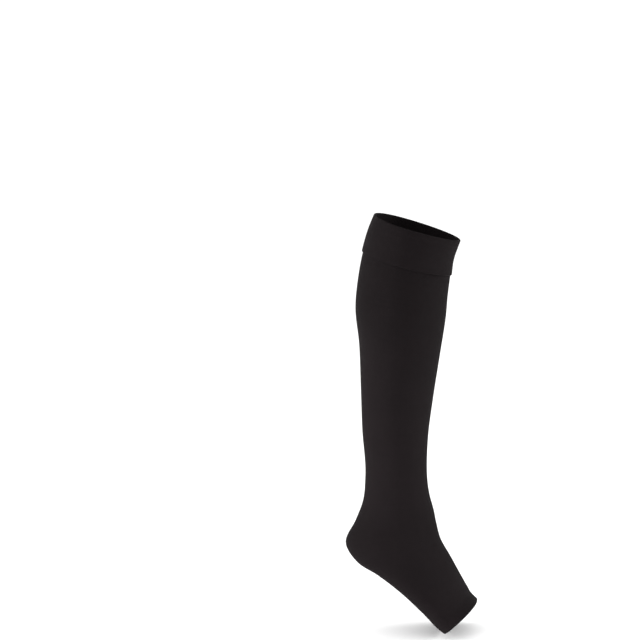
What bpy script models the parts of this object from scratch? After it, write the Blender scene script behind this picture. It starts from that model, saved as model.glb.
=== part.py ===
"""Knee-high compression stocking with an open toe, hollow, in the shape it has when worn.

The form is a general right leg that leans forward, with the heel raised and the ball of the foot down.
The cloth is two pieces: a circular-knit leg and foot in one tube, and a doubled elastic band linked to its top.
+X points the way the toes point, +Y to the inner side of the leg, +Z up. Sizes here are in millimetres.
The origin is the centre of the top opening, where the calf holds the stocking up.
"""

from typing import NamedTuple

import bmesh
import bpy
import numpy as np

MM = 0.001

# The cloth.
KNIT_WALL = 1.2
BAND_WALL = 2.8
SEAM_GAP = 0.3
KNIT_EDGE_ROUND = 0.35
BAND_EDGE_ROUND = 1.0
EDGE_SEGMENTS = 2
SHARP_ANGLE = np.radians(50.0)

# How finely the cloth is divided. Columns run down the leg like the wales of the knit.
COLUMNS = 40
BAND_ROW_SPACING = 8.0
LEG_ROW_SPACING = 16.0
FOOT_ROW_SPACING = 9.0
SPINE_SAMPLES = 1200
RING_SAMPLES = 720

CLOTH_COLOUR = (0.015, 0.013, 0.013, 1.0)
CLOTH_ROUGHNESS = 0.85


class Section(NamedTuple):
    """One measuring section of the leg, as the inner face of the cloth.

    back and front are its ends in the plane Y = 0, as (x, z). widest is the share of the way from back to
    front where the breadth lies. back_power and front_power shape each half: 2 is round, more is squarer.
    side moves the whole section to +Y, and ridge moves its front end alone. slant is how much further down
    the leg its +Y side lies, for each millimetre of +Y.
    """

    name: str
    back: tuple[float, float]
    front: tuple[float, float]
    breadth: float
    widest: float
    back_power: float
    front_power: float
    side: float
    ridge: float
    slant: float


SECTIONS = (
    #        name            back             front          breadth widest back_p front_p side ridge slant
    Section("top edge",     (-49.5, 14.7),    (49.0, -14.1),  102.0, 0.41, 2.20, 2.00,  0.0,  0.0, 0.00),
    Section("mid band",     (-57.2, -4.6),    (41.3, -36.2),  102.5, 0.43, 2.12, 1.96,  0.0,  0.0, 0.00),
    Section("band edge",    (-64.0, -29.1),   (38.4, -56.7),  103.5, 0.45, 2.05, 1.90,  0.0,  0.0, 0.00),
    Section("upper calf",   (-70.0, -61.9),   (35.2, -83.1),  104.5, 0.46, 2.05, 1.90,  0.0,  0.0, 0.00),
    Section("calf",         (-73.0, -94.9),   (33.2, -108.1), 103.5, 0.46, 2.05, 1.90,  0.0,  0.0, 0.00),
    Section("mid calf",     (-68.4, -141.9),  (26.2, -156.1),  93.0, 0.46, 2.05, 1.90,  0.0,  1.0, 0.00),
    Section("lower calf",   (-66.3, -194.9),  (19.0, -205.1),  79.0, 0.47, 2.00, 1.90,  0.0,  2.0, 0.00),
    Section("above ankle",  (-64.5, -244.9),  (13.1, -253.1),  66.0, 0.49, 1.95, 1.95,  0.0,  2.0, 0.00),
    Section("ankle",        (-60.6, -303.0),  (12.2, -306.0),  58.0, 0.50, 1.90, 2.00,  0.0,  1.0, 0.00),
    Section("below ankle",  (-63.6, -335.1),  (15.4, -328.0),  59.5, 0.48, 1.90, 2.00,  0.0,  1.0, 0.00),
    Section("upper heel",   (-72.2, -358.6),  (20.3, -345.9),  61.5, 0.50, 1.95, 2.00,  0.0,  2.0, 0.00),
    Section("heel back",    (-84.2, -387.3),  (23.7, -362.6),  63.5, 0.48, 2.05, 2.00,  0.0,  3.0, 0.00),
    Section("heel base",    (-72.0, -407.5),  (28.7, -381.7),  66.0, 0.44, 2.15, 1.95, -1.0,  5.0, 0.00),
    Section("arch",         (-47.0, -423.1),  (41.4, -405.2),  70.0, 0.38, 2.40, 1.85, -3.0, 10.0, 0.02),
    Section("instep",       (-21.7, -442.2),  (52.1, -425.3),  78.0, 0.36, 2.50, 1.80, -4.0, 14.0, 0.04),
    Section("ball",         (9.0, -470.6),    (63.3, -446.0),  87.0, 0.38, 2.55, 1.80, -4.0, 17.0, 0.06),
    Section("toe base",     (29.1, -489.8),   (68.7, -454.4),  88.0, 0.37, 2.70, 2.20, -7.0, 15.0, 0.09),
    Section("toe edge",     (35.9, -494.0),   (74.5, -460.4),  88.0, 0.41, 3.00, 2.70, -10.0, 13.0, 0.11),
)


def spline(knots, values, at):
    """A smooth curve through values at knots, read at each of at: cubic pieces with Catmull-Rom slopes."""
    steps = np.diff(knots)[:, None]
    slopes = np.diff(values, axis=0) / steps
    inner = (slopes[:-1] * steps[1:] + slopes[1:] * steps[:-1]) / (steps[:-1] + steps[1:])
    tangents = np.vstack([slopes[:1], inner, slopes[-1:]])
    piece = np.clip(np.searchsorted(knots, at, side="right") - 1, 0, len(steps) - 1)
    step = steps[piece]
    t = (at - knots[piece])[:, None] / step
    return (
        (2 * t**3 - 3 * t**2 + 1) * values[piece]
        + (t**3 - 2 * t**2 + t) * step * tangents[piece]
        + (3 * t**2 - 2 * t**3) * values[piece + 1]
        + (t**3 - t**2) * step * tangents[piece + 1]
    )


def distances_down(rows):
    """The distance down the leg at each row: its back or front end's travel, whichever moves further."""
    moves = np.diff(rows[:, :4], axis=0)
    steps = np.maximum(np.hypot(moves[:, 0], moves[:, 1]), np.hypot(moves[:, 2], moves[:, 3]))
    return np.concatenate([[0.0], np.cumsum(steps)])


def shaped_leg():
    """The sections joined by smooth curves.

    Returns the distance down the leg at many close samples, the section's numbers at each, and the distance
    of each named section.
    """
    rows = np.array([(*section.back, *section.front, *section[3:]) for section in SECTIONS])
    knots = distances_down(rows)
    samples = np.linspace(0.0, knots[-1], SPINE_SAMPLES)
    shape = spline(knots, rows, samples)
    down = distances_down(shape)
    named = dict(zip([section.name for section in SECTIONS], np.interp(knots, samples, down)))
    return down, shape, named


DOWN, SHAPE, PLACES = shaped_leg()


def rounded(direction, power, reach):
    """How far a rounded side lies out in a direction between -1 and 1, of the reach that it has at 1."""
    return np.sign(direction) * np.abs(direction) ** (2 / power) * reach


def ring(down):
    """The points round the leg at one distance down it, evenly spaced, from the back by way of the outer side."""
    row = [np.interp(down, DOWN, column) for column in SHAPE.T]
    back_x, back_z, front_x, front_z, breadth, widest, back_power, front_power, side, ridge, slant = row
    depth = np.hypot(front_x - back_x, front_z - back_z)
    forward_x = (front_x - back_x) / depth
    forward_z = (front_z - back_z) / depth
    turn = np.linspace(0.0, 2 * np.pi, RING_SAMPLES + 1)
    behind = np.cos(turn) > 0
    power = np.where(behind, back_power, front_power)
    half_depth = depth * np.where(behind, widest, 1 - widest)
    forward = depth * widest + rounded(-np.cos(turn), power, half_depth)
    sideways = side + rounded(-np.sin(turn), power, breadth / 2) + ridge * (forward / depth) ** 2
    along = slant * sideways
    points = np.column_stack(
        [
            back_x + forward_x * forward + forward_z * along,
            sideways,
            back_z + forward_z * forward - forward_x * along,
        ]
    )
    steps = np.linalg.norm(np.diff(points, axis=0), axis=1)
    walked = np.concatenate([[0.0], np.cumsum(steps)])
    stops = np.arange(COLUMNS) / COLUMNS * walked[-1]
    return np.column_stack([np.interp(stops, walked, axis) for axis in points.T])


def rows_between(start, end, spacing):
    """Evenly spaced distances down the leg, from start to end."""
    return np.linspace(start, end, round((end - start) / spacing) + 1)


def cloth_sheet(name, distances):
    """A tube of cloth with no thickness yet: the leg's inner face, with a ring at each of the distances."""
    mesh = bmesh.new()
    rings = [[mesh.verts.new(point * MM) for point in ring(down)] for down in distances]
    for upper, lower in zip(rings, rings[1:]):
        for column in range(COLUMNS):
            beside = (column + 1) % COLUMNS
            mesh.faces.new((upper[column], lower[column], lower[beside], upper[beside]))
    data = bpy.data.meshes.new(name)
    mesh.to_mesh(data)
    mesh.free()
    data.shade_smooth()
    return data


def cloth_material(name):
    """A matt knit, dyed black."""
    material = bpy.data.materials.new(name)
    material.use_nodes = True
    surface = material.node_tree.nodes["Principled BSDF"]
    surface.inputs["Base Color"].default_value = CLOTH_COLOUR
    surface.inputs["Roughness"].default_value = CLOTH_ROUGHNESS
    surface.inputs["Metallic"].default_value = 0.0
    return material


def cloth_piece(name, distances, wall, edge_round):
    """One piece of the stocking: a sheet with its wall built outwards and its two edges rounded."""
    piece = bpy.data.objects.new(name, cloth_sheet(name, distances))
    bpy.context.scene.collection.objects.link(piece)
    piece.data.materials.append(cloth_material(name))
    thicken = piece.modifiers.new("wall", "SOLIDIFY")
    thicken.thickness = wall * MM
    thicken.offset = 1.0
    thicken.use_even_offset = True
    soften = piece.modifiers.new("edges", "BEVEL")
    soften.width = edge_round * MM
    soften.segments = EDGE_SEGMENTS
    soften.limit_method = "ANGLE"
    soften.angle_limit = SHARP_ANGLE
    return piece


def top_band():
    """The doubled elastic band, from the top opening down to its linked edge."""
    distances = rows_between(PLACES["top edge"], PLACES["band edge"], BAND_ROW_SPACING)
    return cloth_piece("top_band", distances, BAND_WALL, BAND_EDGE_ROUND)


def leg_knit():
    """The seamless tube from the band to the open toe, with closer rows from the ankle down for the heel."""
    leg = rows_between(PLACES["band edge"] + SEAM_GAP, PLACES["below ankle"], LEG_ROW_SPACING)
    foot = rows_between(PLACES["below ankle"], PLACES["toe edge"], FOOT_ROW_SPACING)
    return cloth_piece("leg_knit", np.concatenate([leg, foot[1:]]), KNIT_WALL, KNIT_EDGE_ROUND)


def main():
    """Clears the scene and makes both pieces."""
    for leftover in list(bpy.data.objects):
        bpy.data.objects.remove(leftover)
    top_band()
    leg_knit()


main()
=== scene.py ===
"""Black knee-high compression stocking with an open toe, hollow, in the shape it has when worn.

A circular-knit tube makes the leg and foot. A band of elastic knit is folded to two layers at the top, and a
zigzag thread links it to the tube. The cloth follows the leg's measuring sections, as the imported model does.
+X points the way the toes point, +Y to the inner side of the leg, +Z up. Lengths are millimetres unless a name
ends in _m, and become metres where a mesh is made.
"""

import logging
from dataclasses import dataclass, field
from enum import Enum
from typing import NamedTuple

import bpy
import numpy as np
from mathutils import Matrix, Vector

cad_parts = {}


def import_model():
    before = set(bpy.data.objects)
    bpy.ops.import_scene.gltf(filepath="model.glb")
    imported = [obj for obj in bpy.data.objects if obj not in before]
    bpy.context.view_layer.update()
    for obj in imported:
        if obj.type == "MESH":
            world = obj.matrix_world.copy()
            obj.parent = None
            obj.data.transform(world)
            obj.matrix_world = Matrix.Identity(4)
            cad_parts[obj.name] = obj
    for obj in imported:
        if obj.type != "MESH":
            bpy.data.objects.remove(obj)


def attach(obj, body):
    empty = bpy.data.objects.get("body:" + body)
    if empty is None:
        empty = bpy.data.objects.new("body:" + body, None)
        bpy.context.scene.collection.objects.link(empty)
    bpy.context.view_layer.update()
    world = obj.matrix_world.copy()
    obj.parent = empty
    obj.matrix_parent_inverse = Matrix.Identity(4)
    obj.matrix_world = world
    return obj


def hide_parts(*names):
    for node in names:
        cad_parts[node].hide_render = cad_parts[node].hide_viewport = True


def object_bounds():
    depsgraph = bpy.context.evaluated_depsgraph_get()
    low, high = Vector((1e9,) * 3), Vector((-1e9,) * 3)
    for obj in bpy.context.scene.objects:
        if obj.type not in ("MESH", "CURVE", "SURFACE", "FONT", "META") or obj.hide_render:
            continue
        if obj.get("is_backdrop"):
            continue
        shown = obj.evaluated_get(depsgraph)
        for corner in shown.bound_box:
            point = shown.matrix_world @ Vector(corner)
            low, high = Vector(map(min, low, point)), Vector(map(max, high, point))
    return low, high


MM = 0.001
BODY = "root"
LOG = logging.getLogger("stocking")

# The bake map gives this share of its breadth to the face of the cloth, and leaves a margin round each side.
BAKE_SPLIT = 0.62
BAKE_MARGIN = 0.004

Colour = tuple[float, float, float, float]


# ---------------------------------------------------------------------------------------------------------
# The leg's form


class Section(NamedTuple):
    """One measuring section of the leg, as the inner face of the cloth.

    back and front are its ends in the plane Y = 0, as (x, z). widest is the share of the way from back to
    front where the breadth lies. back_power and front_power shape each half: 2 is round, more is squarer.
    side moves the whole section to +Y, and ridge moves its front end alone. slant is how much further down
    the leg its +Y side lies, for each millimetre of +Y.
    """

    name: str
    back: tuple[float, float]
    front: tuple[float, float]
    breadth: float
    widest: float
    back_power: float
    front_power: float
    side: float
    ridge: float
    slant: float


SECTIONS = (
    #        name            back             front          breadth widest back_p front_p side ridge slant
    Section("top edge",     (-49.5, 14.7),    (49.0, -14.1),  102.0, 0.41, 2.20, 2.00,  0.0,  0.0, 0.00),
    Section("mid band",     (-57.2, -4.6),    (41.3, -36.2),  102.5, 0.43, 2.12, 1.96,  0.0,  0.0, 0.00),
    Section("band edge",    (-64.0, -29.1),   (38.4, -56.7),  103.5, 0.45, 2.05, 1.90,  0.0,  0.0, 0.00),
    Section("upper calf",   (-70.0, -61.9),   (35.2, -83.1),  104.5, 0.46, 2.05, 1.90,  0.0,  0.0, 0.00),
    Section("calf",         (-73.0, -94.9),   (33.2, -108.1), 103.5, 0.46, 2.05, 1.90,  0.0,  0.0, 0.00),
    Section("mid calf",     (-68.4, -141.9),  (26.2, -156.1),  93.0, 0.46, 2.05, 1.90,  0.0,  1.0, 0.00),
    Section("lower calf",   (-66.3, -194.9),  (19.0, -205.1),  79.0, 0.47, 2.00, 1.90,  0.0,  2.0, 0.00),
    Section("above ankle",  (-64.5, -244.9),  (13.1, -253.1),  66.0, 0.49, 1.95, 1.95,  0.0,  2.0, 0.00),
    Section("ankle",        (-60.6, -303.0),  (12.2, -306.0),  58.0, 0.50, 1.90, 2.00,  0.0,  1.0, 0.00),
    Section("below ankle",  (-63.6, -335.1),  (15.4, -328.0),  59.5, 0.48, 1.90, 2.00,  0.0,  1.0, 0.00),
    Section("upper heel",   (-72.2, -358.6),  (20.3, -345.9),  61.5, 0.50, 1.95, 2.00,  0.0,  2.0, 0.00),
    Section("heel back",    (-84.2, -387.3),  (23.7, -362.6),  63.5, 0.48, 2.05, 2.00,  0.0,  3.0, 0.00),
    Section("heel base",    (-72.0, -407.5),  (28.7, -381.7),  66.0, 0.44, 2.15, 1.95, -1.0,  5.0, 0.00),
    Section("arch",         (-47.0, -423.1),  (41.4, -405.2),  70.0, 0.38, 2.40, 1.85, -3.0, 10.0, 0.02),
    Section("instep",       (-21.7, -442.2),  (52.1, -425.3),  78.0, 0.36, 2.50, 1.80, -4.0, 14.0, 0.04),
    Section("ball",         (9.0, -470.6),    (63.3, -446.0),  87.0, 0.38, 2.55, 1.80, -4.0, 17.0, 0.06),
    Section("toe base",     (29.1, -489.8),   (68.7, -454.4),  88.0, 0.37, 2.70, 2.20, -7.0, 15.0, 0.09),
    Section("toe edge",     (35.9, -494.0),   (74.5, -460.4),  88.0, 0.41, 3.00, 2.70, -10.0, 13.0, 0.11),
)


def spline(knots: np.ndarray, values: np.ndarray, at: np.ndarray) -> np.ndarray:
    """A smooth curve through given values, made of cubic pieces with Catmull-Rom slopes.

    Args:
        knots: Where each row of values lies, rising.
        values: One row of numbers for each knot.
        at: Where the curve is read.

    Returns:
        One row of numbers for each place in at.
    """
    steps = np.diff(knots)[:, None]
    slopes = np.diff(values, axis=0) / steps
    inner = (slopes[:-1] * steps[1:] + slopes[1:] * steps[:-1]) / (steps[:-1] + steps[1:])
    tangents = np.vstack([slopes[:1], inner, slopes[-1:]])
    piece = np.clip(np.searchsorted(knots, at, side="right") - 1, 0, len(steps) - 1)
    step = steps[piece]
    t = (at - knots[piece])[:, None] / step
    return (
        (2 * t**3 - 3 * t**2 + 1) * values[piece]
        + (t**3 - 2 * t**2 + t) * step * tangents[piece]
        + (3 * t**2 - 2 * t**3) * values[piece + 1]
        + (t**3 - t**2) * step * tangents[piece + 1]
    )


def distances_down(rows: np.ndarray) -> np.ndarray:
    """The distance down the leg at each row of section numbers.

    Args:
        rows: Section numbers, with the back and front ends in the first four columns.

    Returns:
        The summed travel of the back or front end, whichever moves further in each step.
    """
    moves = np.diff(rows[:, :4], axis=0)
    steps = np.maximum(np.hypot(moves[:, 0], moves[:, 1]), np.hypot(moves[:, 2], moves[:, 3]))
    return np.concatenate([[0.0], np.cumsum(steps)])


@dataclass
class LegForm:
    """The inner face of the cloth, as a surface read by distance down the leg and share of the way round.

    reach is how far up and down the leg a slope is read.
    """

    sections: tuple[Section, ...] = SECTIONS
    spine_samples: int = 1200
    ring_samples: int = 720
    reach: float = 1.0
    down: np.ndarray = field(init=False)
    shape: np.ndarray = field(init=False)
    places: dict[str, float] = field(init=False)

    def __post_init__(self) -> None:
        """Joins the sections by smooth curves."""
        rows = np.array([(*s.back, *s.front, *s[3:]) for s in self.sections])
        knots = distances_down(rows)
        samples = np.linspace(0.0, knots[-1], self.spine_samples)
        self.shape = spline(knots, rows, samples)
        self.down = distances_down(self.shape)
        self.places = dict(zip([s.name for s in self.sections], np.interp(knots, samples, self.down)))

    def ring(self, down: float, shares: np.ndarray) -> np.ndarray:
        """The points round the leg at one distance down it.

        Args:
            down: The distance down the leg.
            shares: How far round each point lies, 0 to 1, from the back by way of the outer side.

        Returns:
            One point for each share.
        """
        row = [np.interp(down, self.down, column) for column in self.shape.T]
        back_x, back_z, front_x, front_z, breadth, widest, back_power, front_power, side, ridge, slant = row
        depth = np.hypot(front_x - back_x, front_z - back_z)
        forward_x = (front_x - back_x) / depth
        forward_z = (front_z - back_z) / depth
        turn = np.linspace(0.0, 2 * np.pi, self.ring_samples + 1)
        behind = np.cos(turn) > 0
        power = np.where(behind, back_power, front_power)
        half_depth = depth * np.where(behind, widest, 1 - widest)
        forward = depth * widest + self.rounded(-np.cos(turn), power, half_depth)
        sideways = side + self.rounded(-np.sin(turn), power, breadth / 2) + ridge * (forward / depth) ** 2
        along = slant * sideways
        x = back_x + forward_x * forward + forward_z * along
        z = back_z + forward_z * forward - forward_x * along
        points = np.column_stack([x, sideways, z])
        steps = np.linalg.norm(np.diff(points, axis=0), axis=1)
        walked = np.concatenate([[0.0], np.cumsum(steps)])
        stops = np.mod(shares, 1.0) * walked[-1]
        return np.column_stack([np.interp(stops, walked, axis) for axis in points.T])

    @staticmethod
    def rounded(direction: np.ndarray, power: np.ndarray, reach: np.ndarray | float) -> np.ndarray:
        """How far a rounded side lies out in a direction between -1 and 1, of the reach that it has at 1."""
        return np.sign(direction) * np.abs(direction) ** (2 / power) * reach

    def outwards(self, down: float, shares: np.ndarray) -> np.ndarray:
        """The directions that point straight out of the cloth at one distance down the leg.

        Args:
            down: The distance down the leg.
            shares: How far round each point lies, 0 to 1.

        Returns:
            One unit vector for each share.
        """
        low = np.clip(down - self.reach, 0.0, self.down[-1])
        high = np.clip(down + self.reach, 0.0, self.down[-1])
        turn = 1.0 / self.ring_samples
        downhill = self.ring(high, shares) - self.ring(low, shares)
        around = self.ring(down, shares + turn) - self.ring(down, shares - turn)
        normals = np.cross(downhill, around)
        return normals / np.linalg.norm(normals, axis=1)[:, None]

    def lifted(self, down: float, out: float, shares: np.ndarray) -> np.ndarray:
        """The points at one distance down the leg, moved outwards from the inner face by out."""
        return self.ring(down, shares) + out * self.outwards(down, shares)

    def girth(self, down: float) -> float:
        """The way round the inner face at one distance down the leg."""
        points = self.ring(down, np.arange(self.ring_samples) / self.ring_samples)
        return float(np.linalg.norm(points - np.roll(points, 1, axis=0), axis=1).sum())


# ---------------------------------------------------------------------------------------------------------
# Cloth as a mesh


class KnitSide(Enum):
    """The two sides of a knitted cloth, with the index of the material that each wears."""

    FACE = 0
    BACK = 1


@dataclass(frozen=True)
class Outline:
    """The closed cross-section of a layer of cloth, point by point.

    down and out place each point, and run is its place along the cloth. The first face_points rows of faces
    show the face of the cloth, and the others its back.
    """

    down: np.ndarray
    out: np.ndarray
    run: np.ndarray
    face_points: int


@dataclass(frozen=True)
class Layer:
    """A layer of cloth cut along the leg: its middle line as (down, out) rows, and its thickness there.

    The face of the cloth is on the left of the line, which is outwards where the line runs down the leg.
    """

    middle: np.ndarray
    thickness: np.ndarray
    cap_points: int = 5

    def outline(self) -> Outline:
        """The cross-section all round: along the face, round one cut edge, back along the back, and home.

        Returns:
            The closed outline of the layer.
        """
        tangents = np.gradient(self.middle, axis=0)
        tangents /= np.linalg.norm(tangents, axis=1)[:, None]
        normals = np.column_stack([-tangents[:, 1], tangents[:, 0]])
        half = self.thickness[:, None] / 2
        face = self.middle + normals * half
        back = self.middle - normals * half
        steps = np.linalg.norm(np.diff(self.middle, axis=0), axis=1)
        run = np.concatenate([[0.0], np.cumsum(steps)])
        far, far_run = self.cap(-1, tangents[-1], normals[-1])
        near, near_run = self.cap(0, -tangents[0], -normals[0])
        split = self.cap_points // 2 + 1
        places = np.vstack([near[-split:], face, far, back[::-1], near[:-split]])
        runs = np.concatenate(
            [-near_run[-split:], run, run[-1] + far_run, run[::-1], -near_run[:-split]]
        )
        return Outline(places[:, 0], places[:, 1], runs, len(face) + 2 * split - 1)

    def cap(self, end: int, ahead: np.ndarray, aside: np.ndarray) -> tuple[np.ndarray, np.ndarray]:
        """The half round that closes one cut edge of the cloth.

        Args:
            end: The index of that end in the middle line.
            ahead: The direction out of the cloth there.
            aside: The direction to the side where the half round starts.

        Returns:
            The points of the half round, and how far each lies past the end.
        """
        turn = np.linspace(0.0, np.pi, self.cap_points + 2)[1:-1]
        half = self.thickness[end] / 2
        reach = np.sin(turn) * half
        points = self.middle[end] + np.outer(reach, ahead) + np.outer(np.cos(turn) * half, aside)
        return points, reach


@dataclass(frozen=True)
class Wrap:
    """How a layer of cloth is wrapped round the leg: its columns of faces, wales and course spacing."""

    columns: int
    wales: int
    course: float


def wrapped_cloth(name: str, form: LegForm, outline: Outline, wrap: Wrap) -> bpy.types.Object:
    """A tube of cloth with the given cross-section, round the leg.

    Its stitch map counts wales round the leg and courses along the cloth. Its wale map holds how wide one
    wale is stretched there, in millimetres. Its bake map lays the two sides of the cloth next to each other.

    Args:
        name: The object's name.
        form: The leg that the cloth goes round.
        outline: The cross-section.
        wrap: The columns, wales and course spacing.

    Returns:
        The new object, in metres, linked to the scene.
    """
    rows, columns = len(outline.down), wrap.columns
    shares = np.arange(columns) / columns
    grid = np.array([form.lifted(d, o, shares) for d, o in zip(outline.down, outline.out)])
    row, column = np.divmod(np.arange(rows * columns), columns)
    next_row, next_column = (row + 1) % rows, (column + 1) % columns
    corners = [(row, column), (next_row, column), (next_row, next_column), (row, next_column)]
    faces = np.column_stack([r * columns + c for r, c in corners])
    data = bpy.data.meshes.new(name)
    data.from_pydata((grid.reshape(-1, 3) * MM).tolist(), [], faces.tolist())
    around = np.column_stack([column, column, column + 1, column + 1]) / columns
    along = np.column_stack([outline.run[row], outline.run[next_row]])[:, [0, 1, 1, 0]]
    write_map(data, "stitches", around * wrap.wales, along / wrap.course)
    wale = np.array([form.girth(d) for d in outline.down]) / wrap.wales
    stretched = np.column_stack([wale[row], wale[next_row]])[:, [0, 1, 1, 0]]
    write_map(data, "wale_width", stretched, stretched)
    on_back = row >= outline.face_points
    starts = np.where(on_back, BAKE_SPLIT, 0.0)[:, None]
    widths = np.where(on_back, 1 - BAKE_SPLIT, BAKE_SPLIT)[:, None]
    full = outline.run.max() - outline.run.min()
    across = starts + widths * (BAKE_MARGIN + around * (1 - 2 * BAKE_MARGIN))
    upwards = BAKE_MARGIN + (along - outline.run.min()) / full * (1 - 2 * BAKE_MARGIN)
    write_map(data, "OFBake", across, upwards)
    sides = np.where(on_back, KnitSide.BACK.value, KnitSide.FACE.value).astype(np.int32)
    data.polygons.foreach_set("material_index", sides)
    data.shade_smooth()
    piece = bpy.data.objects.new(name, data)
    bpy.context.scene.collection.objects.link(piece)
    return piece


def write_map(data: bpy.types.Mesh, name: str, across: np.ndarray, along: np.ndarray) -> None:
    """Gives a mesh of four-sided faces a UV map.

    Args:
        data: The mesh.
        name: The map's name.
        across: One row of four numbers for each face, a number for each corner.
        along: The same for the other direction.
    """
    layer = data.uv_layers.new(name=name)
    corners = np.stack([across, along], axis=2).astype(np.float32)
    layer.uv.foreach_set("vector", corners.ravel())


# ---------------------------------------------------------------------------------------------------------
# Shader building


class Sketch:
    """Adds nodes to a node tree, so that a formula reads from the inside out."""

    def __init__(self, tree: bpy.types.NodeTree) -> None:
        """Keeps the tree."""
        self.tree = tree

    def add(self, kind: str, **settings: object) -> bpy.types.Node:
        """A new node.

        Args:
            kind: The node's type name.
            **settings: The node's own properties.

        Returns:
            The node.
        """
        node = self.tree.nodes.new(kind)
        for setting, value in settings.items():
            setattr(node, setting, value)
        return node

    def feed(self, socket: bpy.types.NodeSocket, value: object) -> None:
        """Links a socket to another one, or sets it to a plain value.

        Args:
            socket: The input to feed.
            value: Another node's output, a number or a colour.
        """
        if isinstance(value, bpy.types.NodeSocket):
            self.tree.links.new(value, socket)
        else:
            socket.default_value = value

    def math(self, operation: str, *terms: object) -> bpy.types.NodeSocket:
        """The result of a Math node.

        Args:
            operation: What the node works out, such as ADD.
            *terms: Sockets or numbers.

        Returns:
            The node's output.
        """
        node = self.add("ShaderNodeMath", operation=operation)
        for socket, term in zip(node.inputs, terms):
            self.feed(socket, term)
        return node.outputs[0]

    def mixed(self, share: object, low: object, high: object, kind: str = "FLOAT") -> bpy.types.NodeSocket:
        """A value between low and high.

        Args:
            share: 0 for low, 1 for high.
            low: A socket, number or colour.
            high: The same.
            kind: FLOAT or RGBA.

        Returns:
            The output of a Mix node.
        """
        node = self.add("ShaderNodeMix", data_type=kind)
        self.feed(node.inputs["Factor"], share)
        ends = [s for s in node.inputs if s.enabled and s.name in ("A", "B")]
        self.feed(ends[0], low)
        self.feed(ends[1], high)
        return next(s for s in node.outputs if s.enabled)

    def noise(self, where: object, scale: float, detail: float, dimensions: str = "3D") -> bpy.types.NodeSocket:
        """A Noise texture's value.

        Args:
            where: The coordinates, or the one coordinate of a 1D noise.
            scale: How many features fit in one unit.
            detail: How many finer layers are added.
            dimensions: 3D or 1D.

        Returns:
            The output, centred on 0.5.
        """
        node = self.add("ShaderNodeTexNoise", noise_dimensions=dimensions)
        self.feed(node.inputs["W" if dimensions == "1D" else "Vector"], where)
        node.inputs["Scale"].default_value = scale
        node.inputs["Detail"].default_value = detail
        return node.outputs[0]


class EffectGroup:
    """A shader node group with named inputs and outputs, built once and placed in each material."""

    name = ""
    inputs: tuple[tuple[str, str], ...] = ()
    outputs: tuple[tuple[str, str], ...] = ()

    def tree(self) -> bpy.types.NodeTree:
        """The group's tree, which is made the first time.

        Returns:
            The node tree that every placed copy shares.
        """
        made = bpy.data.node_groups.get(self.name)
        if made is None:
            made = bpy.data.node_groups.new(self.name, "ShaderNodeTree")
            for name, kind in self.inputs:
                made.interface.new_socket(name=name, in_out="INPUT", socket_type=kind)
            for name, kind in self.outputs:
                made.interface.new_socket(name=name, in_out="OUTPUT", socket_type=kind)
            sketch = Sketch(made)
            entry = sketch.add("NodeGroupInput")
            ends = sketch.add("NodeGroupOutput")
            for name, socket in self.draw(sketch, entry.outputs).items():
                sketch.feed(ends.inputs[name], socket)
        return made

    def draw(self, sketch: Sketch, given: bpy.types.NodeOutputs) -> dict[str, bpy.types.NodeSocket]:
        """The group's inner nodes.

        Args:
            sketch: Adds nodes to the group.
            given: The group's inputs.

        Returns:
            The socket that feeds each of the group's outputs.
        """
        raise NotImplementedError

    def place(self, sketch: Sketch, **values: object) -> bpy.types.NodeOutputs:
        """Puts the group into a material.

        Args:
            sketch: Adds nodes to the material.
            **values: A socket or number for each input, with _ for a space in its name.

        Returns:
            The placed group's outputs.
        """
        node = sketch.add("ShaderNodeGroup", node_tree=self.tree())
        for name, value in values.items():
            sketch.feed(node.inputs[name.replace("_", " ")], value)
        return node.outputs


class FaceStitches(EffectGroup):
    """The smooth side of a knit: upright wales of V-shaped loops, each wale standing up like a fine cord."""

    name = "Knit face stitches"
    inputs = (("Stitch", "NodeSocketVector"), ("Rib", "NodeSocketFloat"))
    outputs = (("Height", "NodeSocketFloat"), ("Yarn", "NodeSocketFloat"))
    slope = 1.7
    dip = 0.25

    def draw(self, sketch: Sketch, given: bpy.types.NodeOutputs) -> dict[str, bpy.types.NodeSocket]:
        """Two slanting legs to a stitch, each rounded across and dipping where one loop enters the next.

        Args:
            sketch: Adds nodes to the group.
            given: The stitch coordinates and the rib's strength.

        Returns:
            Height, and Yarn, which is 1 on the crown of the yarn and 0 in the gaps.
        """
        parts = sketch.add("ShaderNodeSeparateXYZ")
        sketch.feed(parts.inputs[0], given["Stitch"])
        wale, course = parts.outputs[0], parts.outputs[1]
        aside = sketch.math("ABSOLUTE", sketch.math("SUBTRACT", sketch.math("FRACT", wale), 0.5))
        leg = sketch.math("SINE", sketch.math("MULTIPLY", aside, 2 * np.pi))
        lean = sketch.math("MULTIPLY_ADD", aside, self.slope, course)
        loop = sketch.math("COSINE", sketch.math("MULTIPLY", lean, 2 * np.pi))
        crown = sketch.math("MULTIPLY", leg, sketch.math("MULTIPLY_ADD", loop, self.dip, 1 - self.dip))
        beside = sketch.math("SINE", sketch.math("MULTIPLY", wale, np.pi))
        raised = sketch.math("MULTIPLY", sketch.math("MULTIPLY", beside, beside), given["Rib"])
        return {"Height": sketch.math("ADD", crown, raised), "Yarn": crown}


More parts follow.
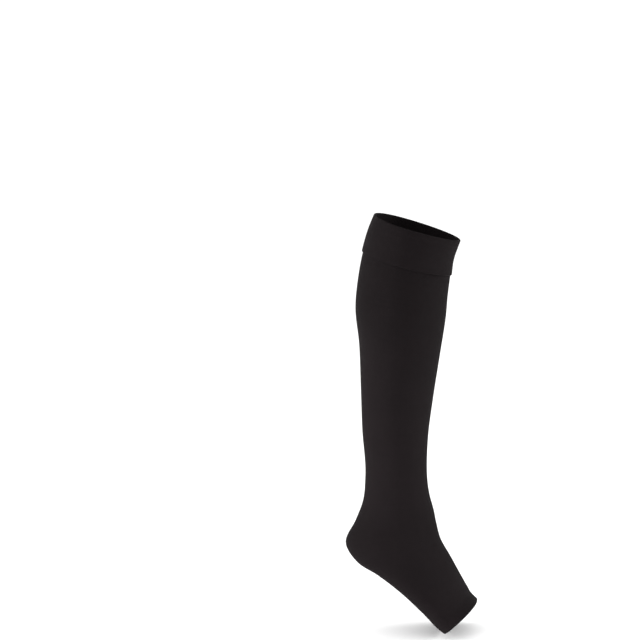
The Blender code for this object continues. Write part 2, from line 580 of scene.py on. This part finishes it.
class BackStitches(EffectGroup):
    """The inner side of a knit: rows of half-round bumps that wave from wale to wale."""

    name = "Knit back stitches"
    inputs = (("Stitch", "NodeSocketVector"), ("Rib", "NodeSocketFloat"))
    outputs = (("Height", "NodeSocketFloat"), ("Yarn", "NodeSocketFloat"))
    wave = 0.22
    bump = 0.4
    middle = 0.5
    rib_share = 0.3

    def draw(self, sketch: Sketch, given: bpy.types.NodeOutputs) -> dict[str, bpy.types.NodeSocket]:
        """Bumps along each course, highest in the middle of a wale.

        Args:
            sketch: Adds nodes to the group.
            given: The stitch coordinates and the rib's strength.

        Returns:
            Height, and Yarn, which is 1 on the crown of the yarn and 0 in the gaps.
        """
        parts = sketch.add("ShaderNodeSeparateXYZ")
        sketch.feed(parts.inputs[0], given["Stitch"])
        swing = sketch.math("COSINE", sketch.math("MULTIPLY", parts.outputs[0], 2 * np.pi))
        lean = sketch.math("MULTIPLY_ADD", swing, self.wave, parts.outputs[1])
        row = sketch.math("COSINE", sketch.math("MULTIPLY", lean, 2 * np.pi))
        crown = sketch.math("MULTIPLY_ADD", row, self.bump, self.middle)
        raised = sketch.math("MULTIPLY", swing, given["Rib"])
        height = sketch.math("MULTIPLY_ADD", raised, self.rib_share, crown)
        return {"Height": height, "Yarn": crown}


class ClothToneAndPaintedShade(EffectGroup):
    """What keeps dyed cloth from being one flat colour.

    The dye is cloudy, and there are faint bands along courses, streaks and lint. Besides these, the colour is
    painted darker where the knit is stretched open and lighter where it is drawn in: painted shade for the gaps
    between its yarns.
    """

    name = "Cloth tone and painted shade"
    inputs = (
        ("Place", "NodeSocketVector"),
        ("Stitch", "NodeSocketVector"),
        ("Openness", "NodeSocketFloat"),
    )
    outputs = (("Tone", "NodeSocketFloat"), ("Fluff", "NodeSocketFloat"))
    cloud_scale, cloud_detail, cloud_share = 22.0, 3.0, 0.45
    band_scale, band_detail, band_share = 0.16, 2.0, 0.2
    streak_scale, streak_detail, streak_share = 0.45, 1.0, 0.2
    fluff_scale, fluff_detail, fluff_share = 900.0, 2.0, 0.15
    stretch_painted_shade_share = 1.0

    def draw(self, sketch: Sketch, given: bpy.types.NodeOutputs) -> dict[str, bpy.types.NodeSocket]:
        """Adds the variations, each with its own share.

        Args:
            sketch: Adds nodes to the group.
            given: The place in metres, the stitch coordinates, and how many millimetres wider than the
                middle one a wale is.

        Returns:
            Tone, centred on 0.5, which holds the dye's variations and the painted stretch shade, and Fluff, the
            finest part of it alone.
        """
        parts = sketch.add("ShaderNodeSeparateXYZ")
        sketch.feed(parts.inputs[0], given["Stitch"])
        cloud = sketch.noise(given["Place"], self.cloud_scale, self.cloud_detail)
        fluff = sketch.noise(given["Place"], self.fluff_scale, self.fluff_detail)
        band = sketch.noise(parts.outputs[1], self.band_scale, self.band_detail, "1D")
        streak = sketch.noise(parts.outputs[0], self.streak_scale, self.streak_detail, "1D")
        tone = sketch.math("MULTIPLY", cloud, self.cloud_share)
        tone = sketch.math("MULTIPLY_ADD", band, self.band_share, tone)
        tone = sketch.math("MULTIPLY_ADD", streak, self.streak_share, tone)
        tone = sketch.math("MULTIPLY_ADD", fluff, self.fluff_share, tone)
        # Painted shade: darker where a wale is stretched wider than the middle one, lighter where it is
        # narrower.
        tone = sketch.math("MULTIPLY_ADD", given["Openness"], -self.stretch_painted_shade_share, tone)
        return {"Tone": tone, "Fluff": fluff}


@dataclass(frozen=True)
class KnitFinish:
    """A matt black knit.

    Each colour is linear. stitch_depth is in millimetres, and so is middle_wale, the width of a wale that shows
    the middle tone, with no painted stretch shade.
    """

    deep: Colour = (0.0080, 0.0062, 0.0067, 1.0)
    bright: Colour = (0.0156, 0.0120, 0.0131, 1.0)
    # gap_shade is painted shade: how much darker the colour is made in the gaps between the yarns.
    gap_shade: float = 0.5
    smoothest: float = 0.72
    roughest: float = 0.92
    specular: float = 0.03
    sheen: float = 0.03
    sheen_colour: Colour = (0.16, 0.148, 0.146, 1.0)
    sheen_roughness: float = 0.45
    stitch_depth: float = 0.22
    rib: float = 0.45
    middle_wale: float = 0.79

    def material(self, name: str, side: KnitSide) -> bpy.types.Material:
        """The finish of one side of the cloth.

        Args:
            name: The material's name.
            side: Which side of the knit shows.

        Returns:
            A new material.
        """
        material = bpy.data.materials.new(name)
        material.use_nodes = True
        sketch = Sketch(material.node_tree)
        surface = material.node_tree.nodes["Principled BSDF"]
        stitches = sketch.add("ShaderNodeUVMap", uv_map="stitches").outputs[0]
        place = sketch.add("ShaderNodeTexCoord").outputs["Object"]
        group = FaceStitches() if side is KnitSide.FACE else BackStitches()
        knit = group.place(sketch, Stitch=stitches, Rib=self.rib)
        width = sketch.add("ShaderNodeSeparateXYZ")
        sketch.feed(width.inputs[0], sketch.add("ShaderNodeUVMap", uv_map="wale_width").outputs[0])
        # How much wider than middle_wale the wale is stretched, which sets the painted stretch shade.
        openness = sketch.math("SUBTRACT", width.outputs[0], self.middle_wale)
        tone = ClothToneAndPaintedShade().place(sketch, Place=place, Stitch=stitches, Openness=openness)
        colour = sketch.mixed(tone["Tone"], self.deep, self.bright, "RGBA")
        # Painted shade: the colour is darkened in the gaps between the yarns, where the Yarn mask is 0.
        gap_painted_shade = sketch.math("MULTIPLY_ADD", knit["Yarn"], self.gap_shade, 1 - self.gap_shade)
        shaded = sketch.add("ShaderNodeVectorMath", operation="SCALE")
        sketch.feed(shaded.inputs[0], colour)
        sketch.feed(shaded.inputs["Scale"], gap_painted_shade)
        sketch.feed(surface.inputs["Base Color"], shaded.outputs[0])
        rough = sketch.mixed(tone["Fluff"], self.smoothest, self.roughest)
        sketch.feed(surface.inputs["Roughness"], rough)
        bump = sketch.add("ShaderNodeBump")
        bump.inputs["Distance"].default_value = self.stitch_depth * MM
        sketch.feed(bump.inputs["Height"], knit["Height"])
        sketch.feed(surface.inputs["Normal"], bump.outputs[0])
        surface.inputs["Specular IOR Level"].default_value = self.specular
        surface.inputs["Sheen Weight"].default_value = self.sheen
        surface.inputs["Sheen Tint"].default_value = self.sheen_colour
        surface.inputs["Sheen Roughness"].default_value = self.sheen_roughness
        return material


@dataclass(frozen=True)
class ThreadFinish:
    """A twisted polyester sewing thread, black."""

    deep: Colour = (0.005, 0.0043, 0.0044, 1.0)
    bright: Colour = (0.0125, 0.0106, 0.0108, 1.0)
    roughness: float = 0.7
    specular: float = 0.05
    twists: float = 2.6
    twist_depth: float = 0.06

    def material(self, name: str) -> bpy.types.Material:
        """The finish of a thread whose stitch map counts turns round it and millimetres along it.

        Args:
            name: The material's name.

        Returns:
            A new material.
        """
        material = bpy.data.materials.new(name)
        material.use_nodes = True
        sketch = Sketch(material.node_tree)
        surface = material.node_tree.nodes["Principled BSDF"]
        parts = sketch.add("ShaderNodeSeparateXYZ")
        sketch.feed(parts.inputs[0], sketch.add("ShaderNodeUVMap", uv_map="stitches").outputs[0])
        lay = sketch.math("MULTIPLY_ADD", parts.outputs[1], self.twists, parts.outputs[0])
        ply = sketch.math("SINE", sketch.math("MULTIPLY", lay, 2 * np.pi))
        crown = sketch.math("MULTIPLY_ADD", ply, 0.5, 0.5)
        # Painted shade: the thread is darker in the grooves between its plies and lighter on their crowns.
        sketch.feed(surface.inputs["Base Color"], sketch.mixed(crown, self.deep, self.bright, "RGBA"))
        bump = sketch.add("ShaderNodeBump")
        bump.inputs["Distance"].default_value = self.twist_depth * MM
        sketch.feed(bump.inputs["Height"], crown)
        sketch.feed(surface.inputs["Normal"], bump.outputs[0])
        surface.inputs["Roughness"].default_value = self.roughness
        surface.inputs["Specular IOR Level"].default_value = self.specular
        return material


# ---------------------------------------------------------------------------------------------------------
# The stocking's pieces


@dataclass
class LegKnit:
    """The seamless tube of the leg and foot, from under the band's outer layer to the open toe.

    The last edge_length swells by edge_bulge, and edge_skew below 1 moves the swell up from the very edge. The
    stretches are how many times wider and longer the knit is on the leg than off it.
    """

    form: LegForm
    wall: float = 1.0
    inner_gap: float = 0.2
    tucked_under: float = 2.0
    row_spacing: float = 3.0
    edge_rows: int = 9
    edge_length: float = 2.6
    edge_bulge: float = 0.35
    edge_skew: float = 0.7
    wrap: Wrap = Wrap(columns=168, wales=336, course=0.55)
    stretch_round: float = 1.30
    stretch_along: float = 1.08

    def layer(self) -> Layer:
        """The wall of the tube, with its last rows gathered into a firmer edge at the toe opening.

        Returns:
            The tube's layer of cloth, from under the band to the toe edge.
        """
        start = self.form.places["band edge"] - self.tucked_under
        end = self.form.places["toe edge"] - self.wall / 2
        plain_end = end - self.edge_length
        rows = round((plain_end - start) / self.row_spacing)
        plain = np.linspace(start, plain_end, rows + 1)
        edge = np.linspace(plain_end, end, self.edge_rows + 1)[1:]
        down = np.concatenate([plain, edge])
        into_edge = np.clip((down - plain_end) / self.edge_length, 0.0, 1.0)
        thickness = self.wall + self.edge_bulge * np.sin(np.pi * into_edge**self.edge_skew)
        out = np.full_like(down, self.inner_gap + self.wall / 2)
        return Layer(np.column_stack([down, out]), thickness)

    def build(self) -> bpy.types.Object:
        """The tube's mesh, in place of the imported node.

        Returns:
            The tube, with no material yet.
        """
        piece = wrapped_cloth("leg_knit_cloth", self.form, self.layer().outline(), self.wrap)
        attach(piece, BODY)
        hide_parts("leg_knit")
        return piece

    def declare(self, piece: bpy.types.Object, band: bpy.types.Object) -> None:
        """Works out how wide the tube's cut is off the leg, opened out flat, and keeps it nowhere.

        Args:
            piece: The tube's mesh. Not used.
            band: The band that holds it up. Not used.
        """
        down = self.layer().middle[:, 0]
        width = max(self.form.girth(d) for d in down) / self.stretch_round * MM

    def dress(self, piece: bpy.types.Object, finish: KnitFinish) -> None:
        """Gives each side of the cloth its material."""
        for side in KnitSide:
            piece.data.materials.append(finish.material(f"leg_knit_{side.name.lower()}", side))


@dataclass
class TopBand:
    """The band of elastic knit, folded over to two layers at the top opening.

    The thread pulls the last edge_pull_length of the outer layer in by edge_pull. stretch_round is how many
    times wider the band is on the leg than off it.
    """

    form: LegForm
    ply: float = 1.2
    wall: float = 2.8
    inner_end_above: float = 2.3
    outer_end_below: float = 0.2
    edge_pull: float = 0.1
    edge_pull_length: float = 2.0
    row_spacing: float = 2.4
    fold_points: int = 11
    wrap: Wrap = Wrap(columns=168, wales=336, course=0.62)
    stretch_round: float = 1.25

    def layer(self) -> Layer:
        """Up the inner layer, over the fold at the top edge and down the outer layer.

        Returns:
            The band's layer of cloth, from its inner end to its outer one.
        """
        edge = self.form.places["band edge"]
        inner, outer = self.ply / 2, self.wall - self.ply / 2
        bend = (outer - inner) / 2
        crest = bend + self.ply / 2
        inner_end = edge - self.inner_end_above - self.ply / 2
        outer_end = edge + self.outer_end_below - self.ply / 2
        rows = round((outer_end - crest) / self.row_spacing)
        up = np.linspace(inner_end, crest, rows + 1)
        turn = np.linspace(0.0, np.pi, self.fold_points + 2)[1:-1]
        down = np.linspace(crest, outer_end, rows + 1)
        pull = np.clip((down - outer_end) / self.edge_pull_length + 1, 0.0, 1.0) ** 2 * self.edge_pull
        middle = np.vstack(
            [
                np.column_stack([up, np.full_like(up, inner)]),
                np.column_stack([crest - bend * np.sin(turn), (inner + outer) / 2 - bend * np.cos(turn)]),
                np.column_stack([down, outer - pull]),
            ]
        )
        return Layer(middle, np.full(len(middle), self.ply))

    def build(self) -> bpy.types.Object:
        """The folded band's mesh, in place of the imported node.

        Returns:
            The band, with no material yet.
        """
        piece = wrapped_cloth("top_band_cloth", self.form, self.layer().outline(), self.wrap)
        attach(piece, BODY)
        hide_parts("top_band")
        return piece

    def declare(self, piece: bpy.types.Object, thread: bpy.types.Object) -> None:
        """Works out how long the band's strip is off the leg, from its girth, and keeps it nowhere.

        Args:
            piece: The band's mesh. Not used.
            thread: The stitches that join it to the tube. Not used.
        """
        width = self.form.girth(self.form.places["mid band"]) / self.stretch_round * MM

    def dress(self, piece: bpy.types.Object, finish: KnitFinish) -> None:
        """Gives each side of the cloth its material."""
        for side in KnitSide:
            piece.data.materials.append(finish.material(f"top_band_{side.name.lower()}", side))


@dataclass
class LinkingStitches:
    """The zigzag of thread that links the band's outer layer to the tube, all round its lower edge.

    The thread lies sunk into the band's wall, crosses the step over edge_softness, and at each turn of the
    zigzag it bites into the cloth. A higher turn_power keeps the bite closer to the turn.
    """

    form: LegForm
    band_wall: float = 2.8
    knit_wall: float = 1.2
    stitches: int = 168
    samples: int = 14
    sides: int = 6
    radius: float = 0.17
    above_edge: float = 1.9
    below_edge: float = 1.1
    band_end_below: float = 0.2
    edge_softness: float = 0.45
    sunk: float = 0.3
    bite: float = 0.12
    turn_power: int = 6

    def route(self) -> tuple[np.ndarray, np.ndarray, np.ndarray]:
        """The thread's middle line.

        Returns:
            The share of the way round, the distance down and the distance out at each of its samples.
        """
        edge = self.form.places["band edge"]
        t = np.arange(self.stitches * self.samples) / self.samples
        swing = np.cos(2 * np.pi * t)
        middle = edge + (self.below_edge - self.above_edge) / 2
        reach = (self.below_edge + self.above_edge) / 2
        down = middle - reach * swing
        past = 1 / (1 + np.exp(-(down - edge - self.band_end_below) / (self.edge_softness / 2)))
        on_band = self.band_wall - self.sunk
        cloth = on_band + (self.knit_wall - on_band) * past
        near_turn = np.abs(swing) ** self.turn_power
        lift = self.radius * (1 - near_turn) - self.bite * near_turn
        return t / self.stitches, down, cloth + lift

    def build(self) -> bpy.types.Object:
        """The thread's mesh: a thin round tube along its route.

        Returns:
            The thread, with no material yet.
        """
        shares, down, out = self.route()
        line, outwards = [], []
        for share, d, o in zip(shares, down, out):
            at = np.array([share])
            normal = self.form.outwards(d, at)[0]
            line.append(self.form.ring(d, at)[0] + o * normal)
            outwards.append(normal)
        line, outwards = np.array(line), np.array(outwards)
        ahead = np.roll(line, -1, 0) - np.roll(line, 1, 0)
        ahead /= np.linalg.norm(ahead, axis=1)[:, None]
        aside = np.cross(ahead, outwards)
        aside /= np.linalg.norm(aside, axis=1)[:, None]
        upright = np.cross(aside, ahead)
        turn = np.arange(self.sides) / self.sides * 2 * np.pi
        rings = line[:, None] + self.radius * (
            np.cos(turn)[:, None] * aside[:, None] + np.sin(turn)[:, None] * upright[:, None]
        )
        steps = np.linalg.norm(np.roll(line, -1, 0) - line, axis=1)
        run = np.concatenate([[0.0], np.cumsum(steps)])
        rows = len(line)
        row, side = np.divmod(np.arange(rows * self.sides), self.sides)
        next_row, next_side = (row + 1) % rows, (side + 1) % self.sides
        corners = [(row, side), (row, next_side), (next_row, next_side), (next_row, side)]
        faces = np.column_stack([r * self.sides + s for r, s in corners])
        data = bpy.data.meshes.new("linking_stitches")
        data.from_pydata((rings.reshape(-1, 3) * MM).tolist(), [], faces.tolist())
        around = np.column_stack([side, side + 1, side + 1, side]) / self.sides
        along = np.column_stack([run[row], run[row], run[row + 1], run[row + 1]])
        write_map(data, "stitches", around, along)
        data.shade_smooth()
        piece = bpy.data.objects.new("linking_stitches", data)
        bpy.context.scene.collection.objects.link(piece)
        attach(piece, BODY)
        return piece

    def dress(self, piece: bpy.types.Object, finish: ThreadFinish) -> None:
        """Gives the thread its material."""
        piece.data.materials.append(finish.material("linking_thread"))


# ---------------------------------------------------------------------------------------------------------
# The studio


@dataclass(frozen=True)
class Softbox:
    """A large flat light, aimed at a point and out of every camera's sight. Lengths are metres."""

    name: str
    place_m: tuple[float, float, float]
    aim_m: tuple[float, float, float]
    size_m: tuple[float, float]
    power: float

    def build(self) -> None:
        """Adds the light, upright and facing its aim."""
        light = bpy.data.lights.new(self.name, "AREA")
        light.shape = "RECTANGLE"
        light.size, light.size_y = self.size_m
        light.energy = self.power
        lamp = bpy.data.objects.new(self.name, light)
        lamp.location = self.place_m
        sight = Vector(self.aim_m) - Vector(self.place_m)
        lamp.rotation_euler = sight.to_track_quat("-Z", "Y").to_euler()
        lamp.visible_camera = False
        bpy.context.scene.collection.objects.link(lamp)


@dataclass
class Studio:
    """A pale floor just under the stocking, soft light from all round, and the camera. Lengths are metres."""

    camera_place_m: tuple[float, float, float] = (-0.116617, -3.4, 0.45)
    camera_aim_m: tuple[float, float, float] = (-0.116617, 0.0, -0.112273)
    lens: float = 161.54
    sensor: float = 36.0
    floor_gap_m: float = 0.001
    floor_radius_m: float = 40.0
    floor_colour: Colour = (0.92, 0.92, 0.92, 1.0)
    floor_roughness: float = 0.95
    floor_corners: int = 96
    sky_strength: float = 1.0
    overhead_strength: float = 0.7
    overhead_angle: float = 100.0
    softboxes: tuple[Softbox, ...] = (
        Softbox("left_softbox", (-2.3, -0.05, 0.0), (0.0, 0.0, -0.25), (0.9, 0.9), 42.0),
        Softbox("right_softbox", (2.6, 0.6, 0.3), (0.0, 0.0, -0.25), (1.5, 1.5), 52.0),
        Softbox("low_left_softbox", (-0.55, -0.35, -0.42), (-0.03, 0.0, -0.36), (0.4, 0.12), 1.45),
        Softbox("low_front_softbox", (0.0, -0.6, -0.43), (-0.03, 0.0, -0.38), (0.5, 0.1), 1.7),
    )

    def build(self, lowest_m: float) -> None:
        """Makes everything round the stocking.

        Args:
            lowest_m: The height of the stocking's lowest point.
        """
        self.floor(lowest_m - self.floor_gap_m)
        self.sky()
        for softbox in self.softboxes:
            softbox.build()
        self.camera()
        bpy.context.scene.view_settings.view_transform = "Standard"

    def floor(self, height: float) -> None:
        """A wide, round, matt floor.

        Args:
            height: How high it lies.
        """
        turn = np.linspace(0.0, 2 * np.pi, self.floor_corners, endpoint=False)
        rim = np.column_stack([np.cos(turn), np.sin(turn)]) * self.floor_radius_m
        data = bpy.data.meshes.new("floor")
        data.from_pydata([(x, y, height) for x, y in rim.tolist()], [], [range(len(rim))])
        floor = bpy.data.objects.new("floor", data)
        bpy.context.scene.collection.objects.link(floor)
        material = bpy.data.materials.new("pale_floor")
        material.use_nodes = True
        surface = material.node_tree.nodes["Principled BSDF"]
        surface.inputs["Base Color"].default_value = self.floor_colour
        surface.inputs["Roughness"].default_value = self.floor_roughness
        surface.inputs["Specular IOR Level"].default_value = 0.0
        data.materials.append(material)
        floor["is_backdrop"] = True

    def sky(self) -> None:
        """Even white light from all round, and a wide soft one from overhead."""
        world = bpy.data.worlds.new("studio")
        world.use_nodes = True
        background = world.node_tree.nodes["Background"]
        background.inputs["Color"].default_value = (1.0, 1.0, 1.0, 1.0)
        background.inputs["Strength"].default_value = self.sky_strength
        bpy.context.scene.world = world
        overhead = bpy.data.lights.new("overhead", "SUN")
        overhead.energy = self.overhead_strength
        overhead.angle = np.radians(self.overhead_angle)
        bpy.context.scene.collection.objects.link(bpy.data.objects.new("overhead", overhead))

    def camera(self) -> None:
        """The camera, level across and tilted down a little."""
        data = bpy.data.cameras.new("camera")
        data.lens = self.lens
        data.sensor_width = self.sensor
        data.clip_end = 2 * self.floor_radius_m
        camera = bpy.data.objects.new("camera", data)
        camera.location = self.camera_place_m
        sight = Vector(self.camera_aim_m) - Vector(self.camera_place_m)
        camera.rotation_euler = sight.to_track_quat("-Z", "Y").to_euler()
        bpy.context.scene.collection.objects.link(camera)
        bpy.context.scene.camera = camera


def describe(piece: bpy.types.Object) -> None:
    """Reports a finished piece."""
    size = [round(length / MM, 1) for length in piece.dimensions]
    LOG.info("%s: %d faces, size %s mm", piece.name, len(piece.data.polygons), size)


def main() -> None:
    """Builds and dresses the stocking, then the studio round it."""
    logging.basicConfig(level=logging.INFO, format="%(name)s: %(message)s")
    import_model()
    cad_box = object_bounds()
    form = LegForm()
    leg = LegKnit(form)
    leg_piece = leg.build()
    leg.dress(leg_piece, KnitFinish())
    describe(leg_piece)
    band = TopBand(form)
    band_piece = band.build()
    band.dress(band_piece, KnitFinish(stitch_depth=0.26, rib=0.7, middle_wale=0.97))
    describe(band_piece)
    thread = LinkingStitches(form)
    thread_piece = thread.build()
    thread.dress(thread_piece, ThreadFinish())
    describe(thread_piece)
    leg.declare(leg_piece, band_piece)
    band.declare(band_piece, thread_piece)
    Studio().build(cad_box[0].z)


if __name__ == "__main__":
    main()
